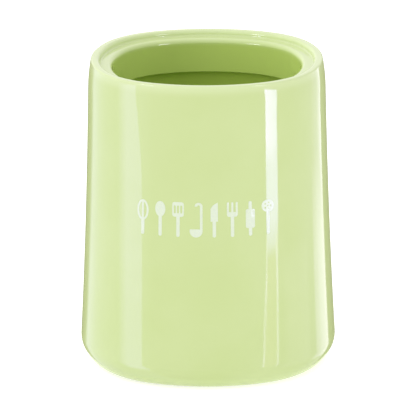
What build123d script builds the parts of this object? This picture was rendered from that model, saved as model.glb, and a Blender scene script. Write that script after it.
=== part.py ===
from build123d import *

import math
import os

# Utensil crock: a waisted jar of glazed ceramic with a ring set inside its mouth and a
# white print of kitchen tools fired on its front. Seen from above the jar is a soft square
# of four flat arcs and four tighter ones at the corners. Each radius below is measured to
# the middle of a face, and each level has the same soft square, moved in or out.
# Millimetres, +Z up. The origin is the middle of the foot on the table, and the print
# faces -Y.

# Outside of the jar
height = 155.0
corner_reach = 2.6
base_radius = 65.0
base_rounding = 11.5
wall_hollow = 0.66
shoulder_depth = 15.0
shoulder_draw = 1.6
rim_radius = 57.75
lip_thickness = 4.3
lip_outer_rounding = 1.0
lip_inner_rounding = 1.8

# Inside of the jar and its foot
wall_thickness = 6.7
floor_thickness = 6.0
floor_rounding = 10.0
foot_width = 4.5
foot_recess = 2.2
foot_edge_rounding = 0.8
seat_ledge = 1.2

# Ring set in the mouth, down from the rim
ring_drop = 3.0
ring_length = 17.4
ring_thickness = 6.2
ring_top_rounding = 2.4
ring_foot_rounding = 0.6
ring_joint = 0.1

# Print on the front: where it is, how large its pictures are and how they are drawn
print_height = 17.6
print_centre_height = 88.25
print_pitch = 8.9
print_film = 0.3
print_joint = 0.02
print_stroke = 1.7
print_line = 1.0
print_overrun = 6.0

spoon_bowl_width = 5.2
spoon_bowl_height = 7.8
fork_width = 5.4
fork_tine_length = 6.2
fork_root_height = 2.4
turner_width = 5.8
turner_head_height = 7.4
turner_corner = 1.2
turner_slot_length = 4.0
whisk_width = 6.0
whisk_loop_height = 10.4
ladle_bowl_width = 6.4
ladle_bowl_rim = 0.9
ladle_rod_width = 1.3
ladle_hook_width = 2.6
knife_blade_width = 3.6
knife_blade_height = 9.6
knife_tip_drop = 3.2
pin_roller_width = 4.6
pin_roller_height = 9.6
pin_roller_corner = 0.9
skimmer_width = 6.4
skimmer_hole_width = 0.9
skimmer_hole_count = 5

# The soft square's arcs: how many there are, how far each turns and how far their centres
# lie from the jar's axis. The floor's middle plate reaches a share of the way to the foot.
arc_count = 8
arc_turn = 360 / arc_count
arc_offset = corner_reach / (2 - 2 * math.cos(math.radians(arc_turn / 2)))
plate_share = 0.7

# Sizes that follow from those above
shoulder_height = height - shoulder_depth
shoulder_radius = rim_radius + shoulder_draw
seat_radius = rim_radius - lip_thickness
ring_top = height - ring_drop
ring_foot = ring_top - ring_length
ring_outer_radius = seat_radius - ring_joint
bore_radius = ring_outer_radius - ring_thickness
floor_top = foot_recess + floor_thickness
inner_base_radius = base_radius - wall_thickness
inner_top_radius = seat_radius - seat_ledge
foot_outer_radius = base_radius - base_rounding
recess_radius = foot_outer_radius - foot_width
plate_radius = recess_radius * plate_share


def wall_curve():
    """The jar's outer wall from the table to the shoulder."""
    foot = (base_radius, 0)
    top = (shoulder_radius, shoulder_height)
    middle = ((foot[0] + top[0]) / 2 - wall_hollow, (foot[1] + top[1]) / 2)
    return ThreePointArc(foot, middle, top)


def corner(face, radius, level):
    """The corner of a half section nearest to a radius and a level."""
    wanted = Vector(radius, level, 0)
    return min(face.vertices(), key=lambda vertex: (Vector(*vertex) - wanted).length)


def arcs():
    """Each arc of the soft square: its middle's direction, and its centre on that line."""
    for index in range(arc_count):
        yield index * arc_turn, arc_offset * (-1) ** (index + 1)


def past_centre(centre):
    """How much further a surface is from an arc's centre than its radius says."""
    return arc_offset if centre < 0 else corner_reach - arc_offset


def along_arc(face, centre, turn):
    """A half section, drawn as radius and level, carried along one arc about +X."""
    section = Plane.XZ * (Pos(past_centre(centre), 0) * face)
    piece = revolve(section, Axis.Z, revolution_arc=turn)
    return Pos(centre, 0, 0) * Rot(Z=-turn / 2) * piece


def carried(face):
    """A half section carried round the whole soft square."""
    return Part() + [Rot(Z=way) * along_arc(face, centre, arc_turn) for way, centre in arcs()]


def soft_square(radius):
    """The flat soft square whose faces are at a radius."""
    edges = []
    for way, centre in arcs():
        arc = CenterArc((centre, 0), radius + past_centre(centre), -arc_turn / 2, arc_turn)
        edges.append(Rot(Z=way) * arc)
    return make_face(edges)


def crock_body():
    """The jar itself: lip, seat for the ring, wall, floor and a foot with a recess."""
    wall = wall_curve()
    shoulder = TangentArc(wall @ 1, (rim_radius, height), tangent=wall % 1)
    inside = Polyline(
        (rim_radius, height),
        (seat_radius, height),
        (seat_radius, ring_foot),
        (inner_top_radius, ring_foot),
        (inner_base_radius, floor_top),
        (plate_radius, floor_top),
        (plate_radius, foot_recess),
        (recess_radius, foot_recess),
        (recess_radius, 0),
        (base_radius, 0),
    )
    half = make_face([wall, shoulder, *inside.edges()])
    roundings = (
        (base_radius, 0, base_rounding),
        (rim_radius, height, lip_outer_rounding),
        (seat_radius, height, lip_inner_rounding),
        (inner_base_radius, floor_top, floor_rounding),
        (recess_radius, 0, foot_edge_rounding),
        (recess_radius, foot_recess, foot_edge_rounding),
    )
    for radius, level, rounding in roundings:
        half = fillet(corner(half, radius, level), rounding)
    plate = extrude(Pos(0, 0, foot_recess) * soft_square(plate_radius), floor_thickness)
    return carried(half) + plate


def mouth_ring():
    """The ring that narrows the mouth, resting on the seat's ledge below the lip."""
    half = make_face(
        Polyline(
            (bore_radius, ring_foot),
            (ring_outer_radius, ring_foot),
            (ring_outer_radius, ring_top),
            (bore_radius, ring_top),
            close=True,
        )
    )
    half = fillet(corner(half, bore_radius, ring_top), ring_top_rounding)
    half = fillet(corner(half, bore_radius, ring_foot), ring_foot_rounding)
    return carried(half)


# Each picture below is drawn upright about the middle of its own place


def upright(low, high, width):
    """A straight stroke with round ends from one level up to another."""
    return Pos(0, (low + high) / 2) * SlotOverall(high - low, width, rotation=90)


def handle(top):
    """A tool's handle from the foot of its picture up to a level inside its head."""
    return upright(-print_height / 2, top, print_stroke)


def spoon():
    bowl_middle = (print_height - spoon_bowl_height) / 2
    bowl = Pos(0, bowl_middle) * Ellipse(spoon_bowl_width / 2, spoon_bowl_height / 2)
    return bowl + handle(bowl_middle)


def fork():
    top = print_height / 2
    root = top - fork_tine_length
    reach = (fork_width - print_line) / 2
    shape = handle(root) + Pos(0, root) * SlotOverall(fork_width, fork_root_height)
    for side in (-1, 0, 1):
        shape += Pos(side * reach, 0) * upright(root, top, print_line)
    return shape


def turner():
    middle = (print_height - turner_head_height) / 2
    shape = Pos(0, middle) * RectangleRounded(turner_width, turner_head_height, turner_corner)
    shape += handle(middle - turner_head_height / 2 + print_stroke)
    slot = SlotOverall(turner_slot_length, print_line, rotation=90)
    pitch = (turner_width - print_line) / 3
    for side in (-1, 0, 1):
        shape -= Pos(side * pitch, middle) * slot
    return shape


def whisk():
    middle = (print_height - whisk_loop_height) / 2
    wide = whisk_width / 2
    tall = whisk_loop_height / 2
    loop = Ellipse(wide, tall) - Ellipse(wide - print_line, tall - print_line)
    shape = Pos(0, middle) * loop + handle(middle - tall + print_line)
    return shape + upright(middle - tall, middle + tall - print_line / 2, print_line)


def ladle():
    """A ladle hung by its hook, with its bowl at the foot and open to the left of its rod."""
    radius = ladle_bowl_width / 2
    foot = radius - print_height / 2
    above = Pos(0, ladle_bowl_rim + radius) * Rectangle(ladle_bowl_width, ladle_bowl_width)
    hook_radius = ladle_hook_width / 2
    outer = hook_radius + ladle_rod_width / 2
    bend = print_height / 2 - outer
    rod = radius - ladle_rod_width / 2
    rod_height = bend - foot
    hook = Circle(outer) - Circle(hook_radius - ladle_rod_width / 2)
    hook -= Pos(0, -outer) * Rectangle(outer * 2, outer * 2)
    shape = Pos(0, foot) * (Circle(radius) - above)
    shape += Pos(rod, (bend + foot) / 2) * Rectangle(ladle_rod_width, rod_height)
    return shape + Pos(rod - hook_radius, bend) * hook


def knife():
    top = print_height / 2
    heel = top - knife_blade_height
    spine = knife_blade_width / 2
    edge = Polyline((spine, top), (spine, heel), (-spine, heel), (-spine, top - knife_tip_drop))
    belly = SagittaArc((-spine, top - knife_tip_drop), (spine, top), print_line / 2)
    return make_face([*edge.edges(), belly]) + handle(heel + print_stroke)


def rolling_pin():
    roller = RectangleRounded(pin_roller_width, pin_roller_height, pin_roller_corner)
    return roller + upright(-print_height / 2, print_height / 2, print_stroke)


def skimmer():
    radius = skimmer_width / 2
    middle = print_height / 2 - radius
    hole = Circle(skimmer_hole_width / 2)
    holes = [place * hole for place in PolarLocations(radius / 2, skimmer_hole_count)]
    disc = Circle(radius) - holes - hole
    return Pos(0, middle) * disc + handle(middle - radius + print_stroke)


def wall_at(level):
    """The radius of the jar's outer wall at a level."""
    return (wall_curve() @ (level / shoulder_height)).X


def print_skin():
    """A thin cone on the front face's arc, a hair off the wall and as thick as the film."""
    reach = print_height / 2 + print_line
    low, high = print_centre_height - reach, print_centre_height + reach
    near, far = print_joint, print_joint + print_film
    half = Polyline(
        (wall_at(low) + near, low),
        (wall_at(low) + far, low),
        (wall_at(high) + far, high),
        (wall_at(high) + near, high),
        close=True,
    )
    return Rot(Z=-90) * along_arc(make_face(half), -arc_offset, 3 * arc_turn)


def printed(picture, skin, step):
    """A picture wrapped on the front wall, step pitches to the right of its middle."""
    radius = wall_at(print_centre_height)
    front = Plane(origin=(0, -radius, print_centre_height), x_dir=(1, 0, 0), z_dir=(0, -1, 0))
    block = extrude(front * picture, amount=print_overrun, both=True)
    return (Rot(Z=math.degrees(step * print_pitch / radius)) * block) & skin


def main():
    os.makedirs("parts", exist_ok=True)
    nodes = {"crock_body": crock_body(), "mouth_ring": mouth_ring()}
    pictures = (whisk, spoon, turner, ladle, knife, fork, rolling_pin, skimmer)
    skin = print_skin()
    for index, picture in enumerate(pictures):
        step = index - (len(pictures) - 1) / 2
        nodes["print_" + picture.__name__] = printed(picture(), skin, step)
    for name, shape in nodes.items():
        export_step(shape, f"parts/{name}.step")


main()
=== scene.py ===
import math

import bmesh
import bpy
from bpy.props import FloatProperty, FloatVectorProperty, IntProperty, PointerProperty
from mathutils import Matrix, Vector


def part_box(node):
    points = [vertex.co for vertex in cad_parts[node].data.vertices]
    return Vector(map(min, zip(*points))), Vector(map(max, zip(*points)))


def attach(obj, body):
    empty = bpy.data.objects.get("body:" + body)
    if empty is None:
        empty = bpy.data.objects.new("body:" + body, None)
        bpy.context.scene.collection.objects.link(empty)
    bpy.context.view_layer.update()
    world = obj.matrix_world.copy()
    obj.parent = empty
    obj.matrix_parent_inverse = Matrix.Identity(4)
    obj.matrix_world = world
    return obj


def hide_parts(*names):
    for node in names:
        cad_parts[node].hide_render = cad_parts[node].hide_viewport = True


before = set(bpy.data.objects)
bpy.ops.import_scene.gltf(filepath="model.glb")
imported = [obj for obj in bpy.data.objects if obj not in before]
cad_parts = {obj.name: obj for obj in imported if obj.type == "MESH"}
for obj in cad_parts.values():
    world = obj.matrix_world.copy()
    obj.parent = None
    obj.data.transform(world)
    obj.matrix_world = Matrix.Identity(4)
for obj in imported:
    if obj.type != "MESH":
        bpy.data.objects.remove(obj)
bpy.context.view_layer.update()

bl_info = {
    "name": "Utensil crock",
    "version": (1, 0, 0),
    "blender": (4, 5, 0),
    "location": "3D Viewport > Sidebar > Crock",
    "description": "Dresses a soft square utensil crock: glazed jar, mouth ring and fired print",
    "category": "Object",
}

jar_low, jar_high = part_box("crock_body")
ring_low, ring_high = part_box("mouth_ring")
PRINT_NODES = sorted(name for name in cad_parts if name.startswith("print_"))

# Points nearer to each other than this, in metres, are one point
MERGE = 1e-6

# The crock is a soft square seen from above: four flat arcs and, between them, four tighter
# ones, each turning an eighth of the way round. The middle of the front lies two arcs back
# from +X.
ARC_TURN = math.tau / 8
FRONT_ARC = -2

# The wall's even rows start this many base roundings above the table
WALL_START = 1.6

# The glaze in the ring's corner is hollow over this share of its height
POOL_HOLLOW = 0.98

# Edges of the print that turn by more than this stay sharp
SHARP_EDGE = math.radians(30)

GLAZE = "green_glaze_finish"
PRINT = "white_print_finish"

# Between these values of its noise a patch of mottle sets in, and there the glaze gets rougher
# by this factor
MOTTLE_EDGE = (0.35, 0.65)
ROUGHER = 1.6

# The print's roughness off and on a patch
PRINT_ROUGHNESS = (0.22, 0.34)

# A pool of glaze is deepest within this share of its reach. The shade painted down the mouth's
# interior is full this far below the ring's top, in metres.
POOL_CORE = 0.3
INSIDE_FADE = 0.004

# The bare clay's edge is ragged at this scale, and soft over this height in metres
RAGGED_SCALE = 300.0
RAGGED_EDGE = 0.0001


def length(name, default, description):
    """A property that holds one length of the crock, in metres."""
    return FloatProperty(
        name=name, description=description, default=default, min=0.0, unit="LENGTH", precision=5
    )


def shade(name, default, description):
    """A property that holds one linear colour."""
    return FloatVectorProperty(
        name=name, description=description, default=default, size=3, min=0.0, subtype="COLOR"
    )


def share(name, default, description):
    """A property that holds a share from 0 to 1."""
    return FloatProperty(
        name=name, description=description, default=default, min=0.0, max=1.0, subtype="FACTOR"
    )


def angle(name, degrees, description):
    """A property that holds one angle."""
    return FloatProperty(
        name=name, description=description, default=math.radians(degrees), subtype="ANGLE"
    )


def number(name, default, description):
    """A property that holds a plain number, such as a light's strength."""
    return FloatProperty(name=name, description=description, default=default, min=0.0)


def count(name, default, least, description):
    """A property that holds a number of faces."""
    return IntProperty(name=name, description=description, default=default, min=least)


class CrockShape(bpy.types.PropertyGroup):
    """Sizes of the jar, of the ring in its mouth and of the print's film."""

    height: length("Height", jar_high.z - jar_low.z, "Foot to the top of the lip")
    corner_reach: length("Corner reach", 0.0026, "How far a corner passes the face's radius")
    base_radius: length("Base radius", 0.065, "Where the wall's line meets the table")
    base_rounding: length("Base rounding", 0.0115, "Radius between the wall and the foot")
    wall_hollow: length("Wall hollow", 0.00066, "How far the wall draws in half way up")
    shoulder_depth: length("Shoulder depth", 0.015, "From the lip down to the shoulder")
    shoulder_draw: length("Shoulder draw", 0.0016, "How far the shoulder draws in")
    rim_radius: length("Rim radius", 0.05775, "Outside of the lip at its top")
    lip_thickness: length("Lip thickness", 0.0043, "Thickness of the lip at its top")
    lip_outer_rounding: length("Lip outer rounding", 0.001, "Rounding outside the lip")
    lip_inner_rounding: length("Lip inner rounding", 0.0018, "Rounding inside the lip")
    wall_thickness: length("Wall thickness", 0.0067, "Wall at the base")
    seat_ledge: length("Seat ledge", 0.0012, "Ledge that carries the ring")
    floor_top: length("Floor top", 0.0082, "Level of the inside of the floor")
    floor_rounding: length("Floor rounding", 0.010, "Rounding between floor and wall")
    recess_radius: length("Recess radius", 0.049, "Inside of the foot")
    recess_depth: length("Recess depth", 0.0022, "Depth of the recess under the floor")
    foot_rounding: length("Foot rounding", 0.0008, "Rounding along the foot's inner edge")
    ring_top_rounding: length("Ring top rounding", 0.0024, "Rounding into the mouth")
    ring_foot_rounding: length("Ring foot rounding", 0.0006, "Rounding under the ring")
    bore_radius: length("Bore radius", 0.04715, "Inside of the ring")
    glaze_pool: length("Glaze pool", 0.0011, "Glaze gathered where the ring meets the lip")
    seal_depth: length("Seal depth", 0.00005, "How far the ring reaches into the wall")
    print_film: length("Print film", 0.0001, "How far the print stands on the glaze")
    turn_steps: count("Turn steps", 256, 32, "Faces round the jar")
    wall_rows: count("Wall rows", 18, 4, "Faces up the wall")
    rounding_rows: count("Rounding rows", 10, 2, "Faces across a rounding")


class CrockFinish(bpy.types.PropertyGroup):
    """Colours and surface of glaze, print and bare clay, with painted shade and a painted
    highlight.
    """

    glaze: shade("Glaze", (0.606, 0.707, 0.334), "Colour of the glaze")
    # The deep colour is that of thick glaze, and it is also painted down the mouth's interior as
    # shade
    deep_glaze_and_shade: shade("Deep glaze and shade", (0.46, 0.60, 0.12), "Colour where the glaze lies thick")
    # The pale colour is partly the glaze breaking thinner on the lip, and partly a highlight
    # painted on the lip
    thin_glaze_and_highlight: shade("Thin glaze and highlight", (0.70, 0.79, 0.45), "Colour where the glaze runs thin")
    clay: shade("Clay", (0.72, 0.66, 0.56), "Bare fired clay under the foot")
    enamel: shade("Enamel", (0.74, 0.81, 0.67), "Colour of the print")
    # How much of the lip's thinner glaze and painted highlight is laid on
    thin_and_highlight_share: share("Thin share", 0.75, "How far the lip turns to the thin glaze")
    pool_share: share("Pool share", 0.04, "How far the ring's corner turns to the deep glaze")
    # The ring's wall gets this share of the shade painted down the mouth's interior
    ring_shade_share: share("Ring share", 0.78, "How far the ring's wall turns to the deep glaze")
    gloss: share("Gloss roughness", 0.05, "Roughness of the glaze")
    clay_roughness: share("Clay roughness", 0.8, "Roughness of the bare clay")
    wave: length("Wave", 0.00001, "Height of the slow waves in the glaze")
    peel: length("Peel", 0.0000012, "Height of the fine unevenness of the glaze")


class CrockStudio(bpy.types.PropertyGroup):
    """Camera and light round the crock."""

    distance: length("Camera distance", 2.17, "Camera to the crock's axis")
    elevation: angle("Elevation", 16.65, "Height angle of the camera")
    azimuth: angle("Azimuth", 1.1, "How far the camera stands to the right of the front")
    roll: angle("Roll", -0.283, "Turn of the camera about its view")
    lens: number("Lens", 372.8, "Focal length in mm")
    aim_height: length("Aim height", 0.07628, "Level that the camera looks at")
    aim_right: length("Aim right", 0.00025, "How far right of the axis the camera looks")
    sky: number("Sky", 1.08, "Light from above the table")
    slant: number("Slant", 0.33, "How much more of the sky's light comes from the left")
    table: number("Table", 0.8, "What the glaze mirrors below the horizon")
    back: shade("Back", (0.37, 0.39, 0.23), "What the glaze mirrors behind the crock")
    floor_radius: length("Floor radius", 3.0, "Radius of the pale floor")
    mirrored_floor: length("Mirrored floor", 0.0655, "Radius of the floor that the glaze mirrors")
    floor_glow: number("Floor glow", 0.27, "Light that the floor adds from below")
    floor_slant: number("Floor slant", 0.85, "How much more of it comes from the right")
    floor_gleam: number("Floor gleam", 0.7, "What the near floor adds in the glaze")
    floor_lift: number("Floor lift", 0.60, "What keeps the floor white in the picture")
    mouth_glow: number("Mouth glow", 2.6, "Light that fills the sides of the mouth")


def wall_radius(shape, level):
    """Radius of the jar's outer wall at a level between the table and the shoulder."""
    shoulder = shape.rim_radius + shape.shoulder_draw
    up = level / (shape.height - shape.shoulder_depth)
    straight = shape.base_radius + (shoulder - shape.base_radius) * up
    return straight - 4 * shape.wall_hollow * up * (1 - up)


def wall_slope(shape, up):
    """How fast the wall draws in with height, at a share of the way up to the shoulder."""
    shoulder = shape.rim_radius + shape.shoulder_draw
    rise = shape.height - shape.shoulder_depth
    return (shape.base_radius - shoulder + 4 * shape.wall_hollow * (1 - 2 * up)) / rise


def outer_wall_points(shape):
    """Radius and level along the outer wall, from the table up to the lip's top."""
    foot = WALL_START * shape.base_rounding
    rise = shape.height - shape.shoulder_depth
    points = [(wall_radius(shape, 0.0), 0.0)]
    for row in range(shape.wall_rows + 1):
        level = foot + (rise - foot) * row / shape.wall_rows
        points.append((wall_radius(shape, level), level))
    slope = wall_slope(shape, 1.0)
    bend = (shape.shoulder_draw - slope * shape.shoulder_depth) / shape.shoulder_depth**2
    rows = shape.rounding_rows
    for row in range(1, rows + 1):
        up = shape.shoulder_depth * row / rows
        if row == rows or up < shape.shoulder_depth - shape.lip_outer_rounding:
            radius = shape.rim_radius + shape.shoulder_draw - slope * up - bend * up**2
            points.append((radius, rise + up))
    return points


def jar_points(shape):
    """The jar's half section, from the middle of its underside to the middle of its floor."""
    seat = shape.rim_radius - shape.lip_thickness
    return [
        (0.0, shape.recess_depth),
        (shape.recess_radius, shape.recess_depth),
        (shape.recess_radius, 0.0),
        *outer_wall_points(shape),
        (seat, shape.height),
        (seat, ring_low.z),
        (seat - shape.seat_ledge, ring_low.z),
        (shape.base_radius - shape.wall_thickness, shape.floor_top),
        (0.0, shape.floor_top),
    ]


def turn_section(points, steps, closed=False):
    """Turns a half section, given as radius and level, round the jar's axis."""
    bm = bmesh.new()
    verts = [bm.verts.new((radius, 0.0, level)) for radius, level in points]
    ends = verts[1:] + verts[:1] if closed else verts[1:]
    edges = [bm.edges.new(pair) for pair in zip(verts, ends)]
    bmesh.ops.spin(
        bm, geom=verts + edges, axis=(0.0, 0.0, 1.0), cent=(0.0, 0.0, 0.0),
        steps=steps, angle=math.tau, use_merge=True,
    )
    bmesh.ops.remove_doubles(bm, verts=bm.verts, dist=MERGE)
    bmesh.ops.recalc_face_normals(bm, faces=bm.faces)
    return bm


def arc_offset(shape):
    """How far the centres of the soft square's arcs lie from the jar's axis."""
    return shape.corner_reach / (2 - 2 * math.cos(ARC_TURN / 2))


def arc_centre(shape, index):
    """Centre of an arc of the soft square, and how much further out its surfaces lie from it."""
    offset = arc_offset(shape)
    reach = -offset if index % 2 == 0 else offset
    way = index * ARC_TURN
    past = offset if index % 2 == 0 else shape.corner_reach - offset
    return Vector((reach * math.cos(way), reach * math.sin(way))), past


def to_soft_square(bm, shape):
    """Moves a round mesh out onto the soft square and keeps each point's section radius."""
    layer = bm.verts.layers.float.new("section_radius")
    for vert in bm.verts:
        radius = math.hypot(vert.co.x, vert.co.y)
        vert[layer] = radius
        if radius > MERGE:
            way = math.atan2(vert.co.y, vert.co.x)
            centre, past = arc_centre(shape, round(way / ARC_TURN))
            vert.co.x = centre.x + (radius + past) * math.cos(way)
            vert.co.y = centre.y + (radius + past) * math.sin(way)


def section_place(shape, point):
    """The arc that a point on the front or near it belongs to: its centre and past length."""
    centre, past = arc_centre(shape, FRONT_ARC)
    turn = math.atan2(point.y - centre.y, point.x - centre.x) - FRONT_ARC * ARC_TURN
    if abs(turn) > ARC_TURN / 2:
        return arc_centre(shape, FRONT_ARC + (1 if turn > 0 else -1))
    return centre, past


def round_circle(bm, radius, level, rounding, rows, lean=0.0):
    """Rounds the circular edge at a radius and level. lean is how far its turn passes square."""
    near = 10 * MERGE

    def on_circle(vert):
        return (
            abs(math.hypot(vert.co.x, vert.co.y) - radius) < near
            and abs(vert.co.z - level) < near
        )

    edges = [edge for edge in bm.edges if all(on_circle(vert) for vert in edge.verts)]
    if not edges:
        raise RuntimeError(f"no edge lies at radius {radius} and level {level}")
    bmesh.ops.bevel(
        bm, geom=edges, offset=rounding * math.tan((math.pi / 2 + lean) / 2),
        offset_type="OFFSET", affect="EDGES", segments=rows, profile=0.5, material=-1,
        clamp_overlap=False,
    )


def finish_piece(bm, name, material, slot, *nodes):
    """Makes an object of a mesh, gives it its finish and ties it to the frame."""
    for face in bm.faces:
        face.smooth = True
    mesh = bpy.data.meshes.new(name)
    bm.to_mesh(mesh)
    bm.free()
    mesh.materials.append(material)
    piece = bpy.data.objects.new(name, mesh)
    bpy.context.scene.collection.objects.link(piece)
    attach(piece, "root")
    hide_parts(*nodes)
    return piece


def hold_flats(piece):
    """Keeps flat and straight faces true next to the roundings."""
    normals = piece.modifiers.new("Flat faces stay flat", "WEIGHTED_NORMAL")
    normals.mode = "FACE_AREA"


def math_node(tree, operation, first, second=None):
    """A math node. Its operands are sockets or numbers."""
    node = tree.nodes.new("ShaderNodeMath")
    node.operation = operation
    for socket, value in zip(node.inputs, (first, second)):
        if isinstance(value, bpy.types.NodeSocket):
            tree.links.new(value, socket)
        elif value is not None:
            socket.default_value = value
    return node.outputs[0]


def vector_node(tree, operation, first, second=None):
    """A vector math node. Its operands are sockets or triples of numbers."""
    node = tree.nodes.new("ShaderNodeVectorMath")
    node.operation = operation
    for socket, value in zip(node.inputs, (first, second)):
        if isinstance(value, bpy.types.NodeSocket):
            tree.links.new(value, socket)
        elif value is not None:
            socket.default_value = value
    return node.outputs[0]


def blend_colours(tree, mask, first, second):
    """Goes from the first colour to the second as the mask goes from 0 to 1."""
    node = tree.nodes.new("ShaderNodeMix")
    node.data_type = "RGBA"
    ports = {socket.identifier: socket for socket in node.inputs}
    for key, value in (("Factor_Float", mask), ("A_Color", first), ("B_Color", second)):
        if isinstance(value, bpy.types.NodeSocket):
            tree.links.new(value, ports[key])
        else:
            ports[key].default_value = (*value, 1.0) if key != "Factor_Float" else value
    return next(socket for socket in node.outputs if socket.identifier == "Result_Color")


def ramp(tree, value, low, high, first=0.0, second=1.0):
    """Maps a value from low to high smoothly onto first to second, held at both ends."""
    node = tree.nodes.new("ShaderNodeMapRange")
    node.interpolation_type = "SMOOTHSTEP"
    tree.links.new(value, node.inputs["Value"])
    keys = ("From Min", "From Max", "To Min", "To Max")
    for key, number in zip(keys, (low, high, first, second)):
        if isinstance(number, bpy.types.NodeSocket):
            tree.links.new(number, node.inputs[key])
        else:
            node.inputs[key].default_value = number
    return node.outputs[0]


def new_group(name, inputs, outputs):
    """A shader node group with named number and colour sockets."""
    group = bpy.data.node_groups.new(name, "ShaderNodeTree")
    kinds = {"number": "NodeSocketFloat", "colour": "NodeSocketColor"}
    for label, kind, default in inputs:
        socket = group.interface.new_socket(label, in_out="INPUT", socket_type=kinds[kind])
        socket.default_value = default
    for label, kind in outputs:
        group.interface.new_socket(label, in_out="OUTPUT", socket_type=kinds[kind])
    entry = group.nodes.new("NodeGroupInput")
    leave = group.nodes.new("NodeGroupOutput")
    return group, entry.outputs, leave.inputs


def fired_surface_group():
    """How a fired skin varies: slow mottle in its colour, waves and fine peel in its height."""
    group, given, made = new_group(
        "Fired surface",
        [
            ("Colour", "colour", (0.8, 0.8, 0.8, 1.0)),
            ("Mottle colour", "colour", (0.7, 0.7, 0.7, 1.0)),
            ("Mottle", "number", 0.1),
            ("Mottle scale", "number", 40.0),
            ("Wave scale", "number", 60.0),
            ("Wave height", "number", 0.00001),
            ("Peel scale", "number", 900.0),
            ("Peel height", "number", 0.000001),
        ],
        [("Colour", "colour"), ("Height", "number"), ("Spread", "number")],
    )
    place = group.nodes.new("ShaderNodeTexCoord").outputs["Object"]

    def noise(scale, detail):
        node = group.nodes.new("ShaderNodeTexNoise")
        node.inputs["Detail"].default_value = detail
        node.inputs["Roughness"].default_value = 0.5
        group.links.new(place, node.inputs["Vector"])
        group.links.new(scale, node.inputs["Scale"])
        return node.outputs[0]

    mottle = noise(given["Mottle scale"], 3.0)
    patch = ramp(group, mottle, *MOTTLE_EDGE)
    amount = math_node(group, "MULTIPLY", patch, given["Mottle"])
    colour = blend_colours(group, amount, given["Colour"], given["Mottle colour"])
    group.links.new(colour, made["Colour"])
    waves = math_node(group, "MULTIPLY", noise(given["Wave scale"], 1.0), given["Wave height"])
    peel = math_node(group, "MULTIPLY", noise(given["Peel scale"], 2.0), given["Peel height"])
    group.links.new(math_node(group, "ADD", waves, peel), made["Height"])
    group.links.new(patch, made["Spread"])
    return group


def glaze_flow_and_light_group():
    """Where the glaze lies thick or thin, where the clay is bare, and where a highlight and shade
    are painted.
    """
    group, given, made = new_group(
        "Glaze flow and painted light",
        [
            ("Crest level", "number", 0.155),
            ("Thin depth", "number", 0.0015),
            ("Pool level", "number", 0.152),
            ("Pool radius", "number", 0.053),
            ("Pool reach", "number", 0.0012),
            ("Bare level", "number", 0.0005),
            ("Inner radius", "number", 0.0613),
            ("Inner lean", "number", 0.05),
            ("Inner floor", "number", 0.005),
            ("Ring foot", "number", 0.134),
            ("Ring share", "number", 0.78),
        ],
        [("Thin", "number"), ("Deep", "number"), ("Bare", "number"), ("Inside", "number")],
    )
    place = group.nodes.new("ShaderNodeTexCoord").outputs["Object"]
    axes = group.nodes.new("ShaderNodeSeparateXYZ")
    group.links.new(place, axes.inputs[0])
    level = axes.outputs["Z"]
    kept = group.nodes.new("ShaderNodeAttribute")
    kept.attribute_name = "section_radius"
    radius = kept.outputs["Fac"]
    # Lighter towards the crest over the top few millimetres: partly thinner glaze on the lip,
    # partly a painted highlight
    down = math_node(group, "SUBTRACT", given["Crest level"], level)
    thin = ramp(group, math_node(group, "DIVIDE", down, given["Thin depth"]), 0.0, 1.0, 1.0, 0.0)
    group.links.new(thin, made["Thin"])
    off_level = math_node(group, "SUBTRACT", level, given["Pool level"])
    off_radius = math_node(group, "SUBTRACT", radius, given["Pool radius"])
    squares = math_node(
        group, "ADD",
        math_node(group, "MULTIPLY", off_level, off_level),
        math_node(group, "MULTIPLY", off_radius, off_radius),
    )
    reach = math_node(group, "DIVIDE", math_node(group, "SQRT", squares), given["Pool reach"])
    group.links.new(ramp(group, reach, POOL_CORE, 1.0, 1.0, 0.0), made["Deep"])
    grain = group.nodes.new("ShaderNodeTexNoise")
    grain.inputs["Scale"].default_value = RAGGED_SCALE
    group.links.new(place, grain.inputs["Vector"])
    ragged = math_node(group, "MULTIPLY", grain.outputs[0], given["Bare level"])
    glazed_height = math_node(group, "SUBTRACT", level, ragged)
    bare = ramp(group, glazed_height, 0.0, RAGGED_EDGE, 1.0, 0.0)
    group.links.new(bare, made["Bare"])
    # Painted shade: from just below the ring's top down to the floor, the mouth's interior turns
    # to the deep colour, a little less on the ring's own wall
    lean = math_node(group, "MULTIPLY", level, given["Inner lean"])
    middle = math_node(group, "SUBTRACT", given["Inner radius"], lean)
    within = math_node(group, "LESS_THAN", radius, middle)
    above = math_node(group, "GREATER_THAN", level, given["Inner floor"])
    sunk = math_node(group, "SUBTRACT", given["Pool level"], level)
    held = math_node(group, "MULTIPLY", within, above)
    inside = math_node(group, "MULTIPLY", held, ramp(group, sunk, 0.0, INSIDE_FADE))
    on_ring = math_node(group, "GREATER_THAN", level, given["Ring foot"])
    part_share = ramp(group, on_ring, 0.0, 1.0, 1.0, given["Ring share"])
    inside = math_node(group, "MULTIPLY", inside, part_share)
    group.links.new(inside, made["Inside"])
    return group


def place_group(tree, group, **values):
    """Puts a node group in a material, with its inputs set by name."""
    node = tree.nodes.new("ShaderNodeGroup")
    node.node_tree = group
    for key, value in values.items():
        socket = node.inputs[key.replace("_", " ")]
        socket.default_value = (*value, 1.0) if socket.type == "RGBA" else value
    return node


def new_material(name):
    """An empty material with one Principled surface."""
    material = bpy.data.materials.new(name)
    material.use_nodes = True
    tree = material.node_tree
    surface = next(node for node in tree.nodes if node.type == "BSDF_PRINCIPLED")
    return material, tree, surface


def shape_normal(tree, height, surface):
    """Turns a height in metres into the surface's normal."""
    bump = tree.nodes.new("ShaderNodeBump")
    bump.inputs["Distance"].default_value = 1.0
    tree.links.new(height, bump.inputs["Height"])
    tree.links.new(bump.outputs[0], surface.inputs["Normal"])
    tree.links.new(bump.outputs[0], surface.inputs["Coat Normal"])


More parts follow.
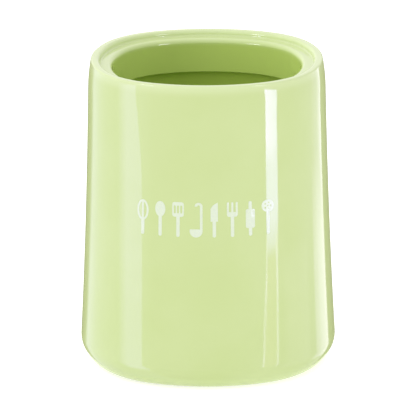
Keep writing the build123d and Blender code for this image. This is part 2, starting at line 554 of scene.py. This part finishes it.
def glaze_material(shape, finish, surface_group, flow_and_light_group):
    """Clear green glaze on pale clay: lip thin with a painted highlight, corners thick, painted
    shade in the mouth, foot bare.
    """
    material, tree, surface = new_material(GLAZE)
    skin = place_group(
        tree, surface_group, Colour=finish.glaze, Mottle_colour=finish.deep_glaze_and_shade, Mottle=0.10,
        Mottle_scale=28.0, Wave_scale=55.0, Wave_height=finish.wave, Peel_scale=700.0,
        Peel_height=finish.peel,
    )
    flow = place_group(
        tree, flow_and_light_group, Crest_level=shape.height, Thin_depth=0.006, Pool_level=ring_high.z,
        Pool_radius=shape.rim_radius - shape.lip_thickness, Pool_reach=0.0018, Bare_level=0.0004,
        Ring_foot=ring_low.z, Ring_share=finish.ring_shade_share,
    )
    # The lip turns pale: partly thinner glaze, partly a painted highlight
    thin = math_node(tree, "MULTIPLY", flow.outputs["Thin"], finish.thin_and_highlight_share)
    colour = blend_colours(tree, thin, skin.outputs["Colour"], finish.thin_glaze_and_highlight)
    deep = math_node(tree, "MULTIPLY", flow.outputs["Deep"], finish.pool_share)
    colour = blend_colours(tree, deep, colour, finish.deep_glaze_and_shade)
    # Painted shade: the mouth's interior turns to the deep colour
    colour = blend_colours(tree, flow.outputs["Inside"], colour, finish.deep_glaze_and_shade)
    colour = blend_colours(tree, flow.outputs["Bare"], colour, finish.clay)
    tree.links.new(colour, surface.inputs["Base Color"])
    patch = skin.outputs["Spread"]
    glazed = ramp(tree, patch, 0.0, 1.0, finish.gloss, finish.gloss * ROUGHER)
    bare = math_node(tree, "MULTIPLY", flow.outputs["Bare"], finish.clay_roughness)
    tree.links.new(math_node(tree, "MAXIMUM", glazed, bare), surface.inputs["Roughness"])
    surface.inputs["IOR"].default_value = 1.5
    shape_normal(tree, skin.outputs["Height"], surface)
    return material


def print_material(finish, surface_group):
    """White enamel fired on the glaze, a little uneven and less glossy than the glaze."""
    material, tree, surface = new_material(PRINT)
    skin = place_group(
        tree, surface_group, Colour=finish.enamel, Mottle_colour=finish.glaze, Mottle=0.16,
        Mottle_scale=900.0, Wave_scale=400.0, Wave_height=0.000004, Peel_scale=3000.0,
        Peel_height=0.000002,
    )
    tree.links.new(skin.outputs["Colour"], surface.inputs["Base Color"])
    rough = ramp(tree, skin.outputs["Spread"], 0.0, 1.0, *PRINT_ROUGHNESS)
    tree.links.new(rough, surface.inputs["Roughness"])
    surface.inputs["IOR"].default_value = 1.5
    shape_normal(tree, skin.outputs["Height"], surface)
    return material


def crock_material(scene, name):
    """The glaze or the print's enamel. Both are made when the first of them is asked for."""
    if name not in bpy.data.materials:
        surface_group = fired_surface_group()
        glaze_material(scene.crock_shape, scene.crock_finish, surface_group, glaze_flow_and_light_group())
        print_material(scene.crock_finish, surface_group)
    return bpy.data.materials[name]


class CROCK_OT_jar(bpy.types.Operator):
    """Turn the glazed jar, with its lip, seat, floor and foot"""

    bl_idname = "crock.jar"
    bl_label = "Make the jar"

    def execute(self, context):
        shape = context.scene.crock_shape
        glaze = crock_material(context.scene, GLAZE)
        bm = turn_section(jar_points(shape), shape.turn_steps)
        rows = shape.rounding_rows
        seat = shape.rim_radius - shape.lip_thickness
        inner_base = shape.base_radius - shape.wall_thickness
        inner_drop = ring_low.z - shape.floor_top
        inner_lean = math.atan((inner_base - seat + shape.seat_ledge) / inner_drop)
        base_lean = math.atan(wall_slope(shape, 0.0))
        slope = wall_slope(shape, 1.0)
        rim_lean = -math.atan(2 * shape.shoulder_draw / shape.shoulder_depth - slope)
        round_circle(bm, shape.base_radius, 0.0, shape.base_rounding, 2 * rows, base_lean)
        lip_rounding = shape.lip_outer_rounding
        round_circle(bm, shape.rim_radius, shape.height, lip_rounding, rows, rim_lean)
        round_circle(bm, seat, shape.height, shape.lip_inner_rounding, rows)
        round_circle(bm, inner_base, shape.floor_top, shape.floor_rounding, rows, inner_lean)
        round_circle(bm, shape.recess_radius, 0.0, shape.foot_rounding, rows)
        round_circle(bm, shape.recess_radius, shape.recess_depth, shape.foot_rounding, rows)
        to_soft_square(bm, shape)
        hold_flats(finish_piece(bm, "glazed_jar", glaze, "green_glaze", "crock_body"))
        return {"FINISHED"}


class CROCK_OT_ring(bpy.types.Operator):
    """Turn the ring in the mouth, with glaze gathered where it meets the lip"""

    bl_idname = "crock.ring"
    bl_label = "Make the mouth ring"

    def execute(self, context):
        shape = context.scene.crock_shape
        glaze = crock_material(context.scene, GLAZE)
        seat = shape.rim_radius - shape.lip_thickness
        sealed = seat + shape.seal_depth
        pool_top = ring_high.z + shape.glaze_pool
        points = [
            (shape.bore_radius, ring_low.z),
            (sealed, ring_low.z),
            (sealed, pool_top),
            (seat, pool_top),
            (seat, ring_high.z),
            (shape.bore_radius, ring_high.z),
        ]
        bm = turn_section(points, shape.turn_steps, closed=True)
        rows = shape.rounding_rows
        round_circle(bm, seat, ring_high.z, shape.glaze_pool * POOL_HOLLOW, rows)
        round_circle(bm, shape.bore_radius, ring_high.z, shape.ring_top_rounding, rows)
        round_circle(bm, shape.bore_radius, ring_low.z, shape.ring_foot_rounding, rows)
        to_soft_square(bm, shape)
        hold_flats(finish_piece(bm, "glazed_ring", glaze, "green_glaze", "mouth_ring"))
        return {"FINISHED"}


class CROCK_OT_print(bpy.types.Operator):
    """Lay the fired print of kitchen tools on the front of the wall"""

    bl_idname = "crock.print"
    bl_label = "Make the print"

    def execute(self, context):
        shape = context.scene.crock_shape
        enamel = crock_material(context.scene, PRINT)
        for node in PRINT_NODES:
            bm = bmesh.new()
            bm.from_mesh(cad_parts[node].data)
            bmesh.ops.remove_doubles(bm, verts=bm.verts, dist=MERGE)
            for vert in bm.verts:
                centre, past = section_place(shape, vert.co)
                outward = vert.co.xy - centre
                wall = wall_radius(shape, vert.co.z) + past
                on_face = outward.length > wall + 2 * shape.print_film
                film = shape.print_film if on_face else 0.0
                vert.co.xy = centre + outward.normalized() * (wall + film)
            picture = node.replace("print_", "enamel_")
            piece = finish_piece(bm, picture, enamel, "white_print", node)
            piece.data.set_sharp_from_angle(angle=SHARP_EDGE)
        return {"FINISHED"}


# Between these heights of a direction, given as sines, the lower light gives way to the sky,
# and the panels in the glaze end
HORIZON = (-0.06, 0.10)
PANEL_TOP = (-0.03, 0.03)

# Between these bearings to either side, in degrees from the front, the table in the glaze
# gives way to what is behind the crock
BACK_EDGE = (142.5, 150.0)

# Panels below the horizon that only the glaze mirrors: the bearings of their left and right
# edges in degrees from the front, the softness of each edge, the brightness and the colour
PANELS = (
    ("left wall", -149.0, -44.1, 4.0, 6.0, 0.45, (1.0, 1.0, 1.5)),
    ("right wall", 20.0, 142.5, 15.0, 5.0, 0.3, (1.0, 1.0, 1.2)),
)


def panel_group():
    """A panel of light between two bearings, with soft or crisp edges."""
    group, given, made = new_group(
        "Light panel",
        [
            ("Bearing", "number", 0.0),
            ("From", "number", 0.0),
            ("To", "number", 10.0),
            ("Soft from", "number", 1.0),
            ("Soft to", "number", 1.0),
            ("Strength", "number", 1.0),
        ],
        [("Light", "number")],
    )
    bearing = given["Bearing"]
    start = math_node(group, "SUBTRACT", given["From"], given["Soft from"])
    rise_end = math_node(group, "ADD", given["From"], given["Soft from"])
    fall_start = math_node(group, "SUBTRACT", given["To"], given["Soft to"])
    end = math_node(group, "ADD", given["To"], given["Soft to"])
    rise = ramp(group, bearing, start, rise_end)
    fall = ramp(group, bearing, fall_start, end, 1.0, 0.0)
    band = math_node(group, "MULTIPLY", rise, fall)
    group.links.new(math_node(group, "MULTIPLY", band, given["Strength"]), made["Light"])
    return group


def build_world(studio):
    """A soft pale sky, darker below the table, with the panels added for mirrored rays."""
    world = bpy.data.worlds.new("studio")
    world.use_nodes = True
    bpy.context.scene.world = world
    tree = world.node_tree
    tree.nodes.clear()
    place = tree.nodes.new("ShaderNodeTexCoord").outputs["Generated"]
    axes = tree.nodes.new("ShaderNodeSeparateXYZ")
    tree.links.new(place, axes.inputs[0])
    towards = math_node(tree, "MULTIPLY", axes.outputs["Y"], -1.0)
    around = math_node(tree, "ARCTAN2", axes.outputs["X"], towards)
    bearing = math_node(tree, "MULTIPLY", around, 180.0 / math.pi)
    behind = ramp(tree, math_node(tree, "ABSOLUTE", bearing), *BACK_EDGE)
    lower = blend_colours(tree, behind, (studio.table,) * 3, studio.back)
    slant = math_node(tree, "MULTIPLY", axes.outputs["X"], -studio.slant * studio.sky)
    sky = math_node(tree, "ADD", slant, studio.sky)
    light = blend_colours(tree, ramp(tree, axes.outputs["Z"], *HORIZON), lower, sky)
    group = panel_group()
    panels = (0.0, 0.0, 0.0)
    for label, start, end, soft_start, soft_end, brightness, colour in PANELS:
        panel = place_group(
            tree, group, From=start, To=end, Soft_from=soft_start, Soft_to=soft_end,
            Strength=brightness,
        )
        panel.label = label
        tree.links.new(bearing, panel.inputs["Bearing"])
        tinted = vector_node(tree, "MULTIPLY", panel.outputs["Light"], colour)
        panels = vector_node(tree, "ADD", tinted, panels)
    rays = tree.nodes.new("ShaderNodeLightPath").outputs
    low = ramp(tree, axes.outputs["Z"], *PANEL_TOP, rays["Is Glossy Ray"], 0.0)
    mirrored = vector_node(tree, "MULTIPLY", panels, low)
    light = vector_node(tree, "ADD", mirrored, light)
    light = blend_colours(tree, rays["Is Camera Ray"], light, (1.0, 1.0, 1.0))
    background = tree.nodes.new("ShaderNodeBackground")
    tree.links.new(light, background.inputs["Color"])
    output = tree.nodes.new("ShaderNodeOutputWorld")
    tree.links.new(background.outputs[0], output.inputs["Surface"])


# Faces round the floor's circles, and how far above it its slanted light seems to meet
FLOOR_STEPS = 96
FLOOR_LIGHT_MEETS = 0.08


def floor_material(studio):
    """Pale matt floor that shows white round the crock and keeps its shadow."""
    material, tree, surface = new_material("pale_floor")
    surface.inputs["Base Color"].default_value = (0.82, 0.82, 0.81, 1.0)
    surface.inputs["Roughness"].default_value = 1.0
    surface.inputs["Specular IOR Level"].default_value = 0.0
    surface.inputs["Emission Color"].default_value = (1.0, 1.0, 1.0, 1.0)
    rays = tree.nodes.new("ShaderNodeLightPath").outputs
    place = tree.nodes.new("ShaderNodeTexCoord").outputs["Object"]
    raised = vector_node(tree, "ADD", place, (0.0, 0.0, FLOOR_LIGHT_MEETS))
    way = vector_node(tree, "NORMALIZE", raised)
    axes = tree.nodes.new("ShaderNodeSeparateXYZ")
    tree.links.new(way, axes.inputs[0])
    slant = math_node(tree, "MULTIPLY", axes.outputs["X"], studio.floor_slant * studio.floor_glow)
    glow = math_node(tree, "ADD", slant, studio.floor_glow)
    gleam = ramp(tree, rays["Is Glossy Ray"], 0.0, 1.0, glow, studio.floor_gleam)
    lift = ramp(tree, rays["Is Camera Ray"], 0.0, 1.0, gleam, studio.floor_lift)
    tree.links.new(lift, surface.inputs["Emission Strength"])
    return material


def place_stage(bm, name, material):
    """Makes an object of a mesh that stands round the crock and isn't part of it."""
    mesh = bpy.data.meshes.new(name)
    bm.to_mesh(mesh)
    bm.free()
    mesh.materials.append(material)
    stage = bpy.data.objects.new(name, mesh)
    bpy.context.scene.collection.objects.link(stage)
    return stage


def build_floor(studio):
    """The pale floor: a disc round the crock that the glaze mirrors, and the rest round it."""
    material = floor_material(studio)
    near = bmesh.new()
    near_radius = studio.mirrored_floor
    bmesh.ops.create_circle(near, cap_ends=True, radius=near_radius, segments=FLOOR_STEPS)
    far = bmesh.new()
    for radius in (near_radius, studio.floor_radius):
        bmesh.ops.create_circle(far, cap_ends=False, radius=radius, segments=FLOOR_STEPS)
    bmesh.ops.bridge_loops(far, edges=far.edges[:])
    for name, bm, mirrored in (("floor_near", near, True), ("floor_far", far, False)):
        bmesh.ops.recalc_face_normals(bm, faces=bm.faces)
        place_stage(bm, name, material).visible_glossy = mirrored


# Lights on the cards below: the white strip on the right with its reflected foot, the lines
# and glints, the edge at the far right, and the plain card, glow, wall and window
STRIP = (9.4, 7.4, 15.4)
STRIP_SIDE = (6.9, 6.0, 12.0)
STRIP_LOW = (5.7, 5.0, 10.4)
STRIP_END = (3.8, 3.3, 6.6)
STRIP_GLOW = (1.9, 1.6, 1.5)
LINE = (4.6, 4.0, 6.2)
UPPER = (10.0, 9.0, 12.0)
EDGE_FAINT = (1.2, 1.15, 1.25)
EDGE_MIDDLE = (1.3, 1.25, 1.45)
EDGE_BRIGHT = (2.25, 2.1, 2.6)
EDGE_LOW_PALE = (1.9, 1.7, 2.3)
EDGE_LOW_MIDDLE = (2.2, 2.0, 2.6)
EDGE_LOW_BRIGHT = (2.3, 2.1, 2.5)
PLAIN = (1.15, 1.15, 1.22)
GLOW = (1.6, 1.5, 1.8)
WALL = (1.25, 1.25, 1.48)
WINDOW = (2.75, 2.4, 4.5)

# Cards round the crock that only its glaze mirrors. A card has its distance and its rows from
# the top down. A row has its level, and along it bearings in degrees from the front, each with
# the light there.
CARDS = {
    "left_window": (
        0.37,
        (
            (0.164, (-57.4, WINDOW), (-56.8, WINDOW), (-56.2, WINDOW)),
            (0.146, (-83.0, WALL), (-68.5, WINDOW), (-56.0, WINDOW)),
            (0.066, (-81.2, WALL), (-67.4, WINDOW), (-53.0, WINDOW)),
            (0.040, (-80.5, WALL), (-67.0, WINDOW), (-47.9, WINDOW)),
            (0.010, (-79.0, WALL), (-66.0, WINDOW), (-46.7, WINDOW)),
            (-0.030, (-76.4, WALL), (-64.0, WINDOW), (-45.6, WINDOW)),
            (-0.050, (-74.6, WALL), (-62.6, WINDOW), (-44.8, WINDOW)),
            (-0.160, (-68.0, WALL), (-57.0, WINDOW), (-40.0, WINDOW)),
        ),
    ),
    "right_strip": (
        0.37,
        (
            (0.162, (42.2, STRIP), (43.4, STRIP)),
            (0.150, (42.2, STRIP), (56.8, STRIP_SIDE)),
            (0.054, (42.2, STRIP), (56.6, STRIP_SIDE)),
            (0.042, (42.1, STRIP_LOW), (56.6, STRIP_LOW)),
            (0.015, (42.0, STRIP_LOW), (56.2, STRIP_LOW)),
            (0.003, (41.5, STRIP_END), (55.2, STRIP_END)),
            (-0.004, (41.3, STRIP_GLOW), (54.5, STRIP_GLOW)),
            (-0.090, (36.0, STRIP_GLOW), (50.0, STRIP_GLOW)),
        ),
    ),
    "upper_right": (
        0.37,
        (
            (0.310, (35.0, UPPER), (46.5, UPPER)),
            (0.192, (35.0, UPPER), (46.5, UPPER)),
        ),
    ),
    "upper_left": (
        0.37,
        (
            (0.310, (-53.0, UPPER), (-38.0, UPPER)),
            (0.192, (-53.0, UPPER), (-38.0, UPPER)),
        ),
    ),
    "right_strip_left_line": (
        0.368,
        (
            (0.006, (41.2, LINE), (42.6, LINE)),
            (-0.010, (40.6, LINE), (41.8, LINE)),
            (-0.024, (39.6, LINE), (40.7, LINE)),
            (-0.046, (37.9, LINE), (38.9, LINE)),
            (-0.090, (35.2, LINE), (36.2, LINE)),
        ),
    ),
    "right_strip_right_line": (
        0.368,
        (
            (0.006, (52.4, LINE), (55.2, LINE)),
            (-0.022, (52.4, LINE), (54.4, LINE)),
            (-0.050, (51.0, LINE), (53.0, LINE)),
            (-0.090, (47.9, LINE), (49.8, LINE)),
        ),
    ),
    "right_glow": (
        0.37,
        (
            (-0.005, (62.0, PLAIN), (70.0, PLAIN), (98.0, PLAIN), (104.0, PLAIN)),
            (-0.035, (60.0, PLAIN), (68.0, GLOW), (95.0, GLOW), (101.0, PLAIN)),
            (-0.160, (52.0, PLAIN), (60.0, GLOW), (90.0, GLOW), (96.0, PLAIN)),
        ),
    ),
    "right_edge_strip": (
        0.37,
        (
            (0.146, (117.5, EDGE_FAINT), (130.0, EDGE_MIDDLE), (138.5, EDGE_BRIGHT)),
            (0.024, (114.0, EDGE_FAINT), (129.0, EDGE_MIDDLE), (138.5, EDGE_BRIGHT)),
            (-0.025, (111.5, EDGE_LOW_PALE), (125.0, EDGE_LOW_MIDDLE), (138.0, EDGE_LOW_BRIGHT)),
            (-0.089, (108.0, EDGE_LOW_PALE), (122.0, EDGE_LOW_MIDDLE), (136.0, EDGE_LOW_BRIGHT)),
            (-0.160, (102.0, EDGE_LOW_PALE), (120.0, EDGE_LOW_MIDDLE), (135.0, EDGE_LOW_BRIGHT)),
        ),
    ),
}


def card_material():
    """A plain card that gives out the light kept at its points."""
    material, tree, surface = new_material("mirrored_card")
    surface.inputs["Base Color"].default_value = (0.0, 0.0, 0.0, 1.0)
    surface.inputs["Specular IOR Level"].default_value = 0.0
    kept = tree.nodes.new("ShaderNodeAttribute")
    kept.attribute_name = "light"
    tree.links.new(kept.outputs["Color"], surface.inputs["Emission Color"])
    surface.inputs["Emission Strength"].default_value = 1.0
    return material


def card_row(bm, layer, distance, level, stops):
    """The points along one row of a card, each with the light that it keeps."""
    row = []
    for bearing, light in stops:
        way = math.radians(bearing)
        outward = Vector((math.sin(way), -math.cos(way), 0.0))
        vert = bm.verts.new(outward * distance + Vector((0.0, 0.0, level)))
        vert[layer] = (*light, 1.0)
        row.append(vert)
    return row


def build_cards():
    """The cards of light round the crock, which only the glaze mirrors."""
    material = card_material()
    for name, (distance, rows) in CARDS.items():
        bm = bmesh.new()
        layer = bm.verts.layers.float_color.new("light")
        points = [card_row(bm, layer, distance, level, stops) for level, *stops in rows]
        for above, below in zip(points, points[1:]):
            for left in range(len(below) - 1):
                bm.faces.new((above[left], above[left + 1], below[left + 1], below[left]))
        card = place_stage(bm, name, material)
        card.visible_camera = False
        card.visible_diffuse = False
        card.visible_shadow = False


# The lamps in the mouth: where they hang, their width and height, their colour, and the way
# that the right one faces
MOUTH_GLOW_PLACE = (0.004, -0.016, 0.1435)
MOUTH_GLOW_SIZE = (0.040, 0.013)
MOUTH_GLOW_COLOUR = (1.0, 1.0, 0.95)
MOUTH_GLOW_WAY = (0.94, 0.34, 0.0)


def build_mouth_glow(studio):
    """Two faint lamps in the mouth, back to back, that light the ring's sides."""
    width, height = MOUTH_GLOW_SIZE
    for name, side in (("mouth_glow_right", 1), ("mouth_glow_left", -1)):
        lamp = bpy.data.lights.new(name, "AREA")
        lamp.shape = "RECTANGLE"
        lamp.size = width
        lamp.size_y = height
        lamp.energy = 4 * width * height * studio.mouth_glow
        lamp.color = MOUTH_GLOW_COLOUR
        lamp_object = bpy.data.objects.new(name, lamp)
        bpy.context.scene.collection.objects.link(lamp_object)
        towards = Vector(MOUTH_GLOW_WAY) * side
        lamp_object.location = MOUTH_GLOW_PLACE
        lamp_object.rotation_euler = towards.to_track_quat("-Z", "Y").to_euler()
        lamp_object.visible_camera = False
        lamp_object.visible_glossy = False


# Width of the camera's sensor in millimetres, and how far it sees in metres
SENSOR_WIDTH = 36.0
SIGHT = 20.0


def build_camera(studio):
    """The photograph's camera: a long lens, a little above the crock."""
    camera = bpy.data.cameras.new("camera")
    camera.lens = studio.lens
    camera.sensor_width = SENSOR_WIDTH
    camera.clip_end = SIGHT
    camera_object = bpy.data.objects.new("camera", camera)
    bpy.context.scene.collection.objects.link(camera_object)
    right = Vector((math.cos(studio.azimuth), math.sin(studio.azimuth), 0.0))
    level = Vector((math.sin(studio.azimuth), -math.cos(studio.azimuth), 0.0))
    away = level * math.cos(studio.elevation) + Vector((0, 0, math.sin(studio.elevation)))
    aim = Vector((0.0, 0.0, studio.aim_height)) + right * studio.aim_right
    roll = Matrix.Rotation(studio.roll, 3, "Z").to_quaternion()
    turn = (-away).to_track_quat("-Z", "Y") @ roll
    place = Matrix.Translation(aim + away * studio.distance)
    camera_object.matrix_world = place @ turn.to_matrix().to_4x4()
    bpy.context.scene.camera = camera_object


class CROCK_OT_stage(bpy.types.Operator):
    """Set the floor, the light and the camera"""

    bl_idname = "crock.stage"
    bl_label = "Set the stage"

    def execute(self, context):
        studio = context.scene.crock_studio
        build_world(studio)
        build_floor(studio)
        build_cards()
        build_mouth_glow(studio)
        build_camera(studio)
        context.scene.view_settings.view_transform = "Standard"
        return {"FINISHED"}


class CROCK_PT_sidebar(bpy.types.Panel):
    """Lists the crock's pieces, sizes and finish"""

    bl_label = "Utensil crock"
    bl_space_type = "VIEW_3D"
    bl_region_type = "UI"
    bl_category = "Crock"

    def draw(self, context):
        layout = self.layout
        for operator in OPERATORS:
            layout.operator(operator.bl_idname)
        for key in GROUPS:
            group = getattr(context.scene, key)
            box = layout.box()
            for name in group.__annotations__:
                box.prop(group, name)


GROUPS = {"crock_shape": CrockShape, "crock_finish": CrockFinish, "crock_studio": CrockStudio}
OPERATORS = (CROCK_OT_stage, CROCK_OT_jar, CROCK_OT_ring, CROCK_OT_print)
CLASSES = (*GROUPS.values(), *OPERATORS, CROCK_PT_sidebar)


def register():
    for item in CLASSES:
        bpy.utils.register_class(item)
    for key, group in GROUPS.items():
        setattr(bpy.types.Scene, key, PointerProperty(type=group))


def unregister():
    for key in GROUPS:
        delattr(bpy.types.Scene, key)
    for item in reversed(CLASSES):
        bpy.utils.unregister_class(item)


def main():
    register()
    bpy.ops.crock.stage()
    bpy.ops.crock.jar()
    bpy.ops.crock.ring()
    bpy.ops.crock.print()


if __name__ == "__main__":
    main()
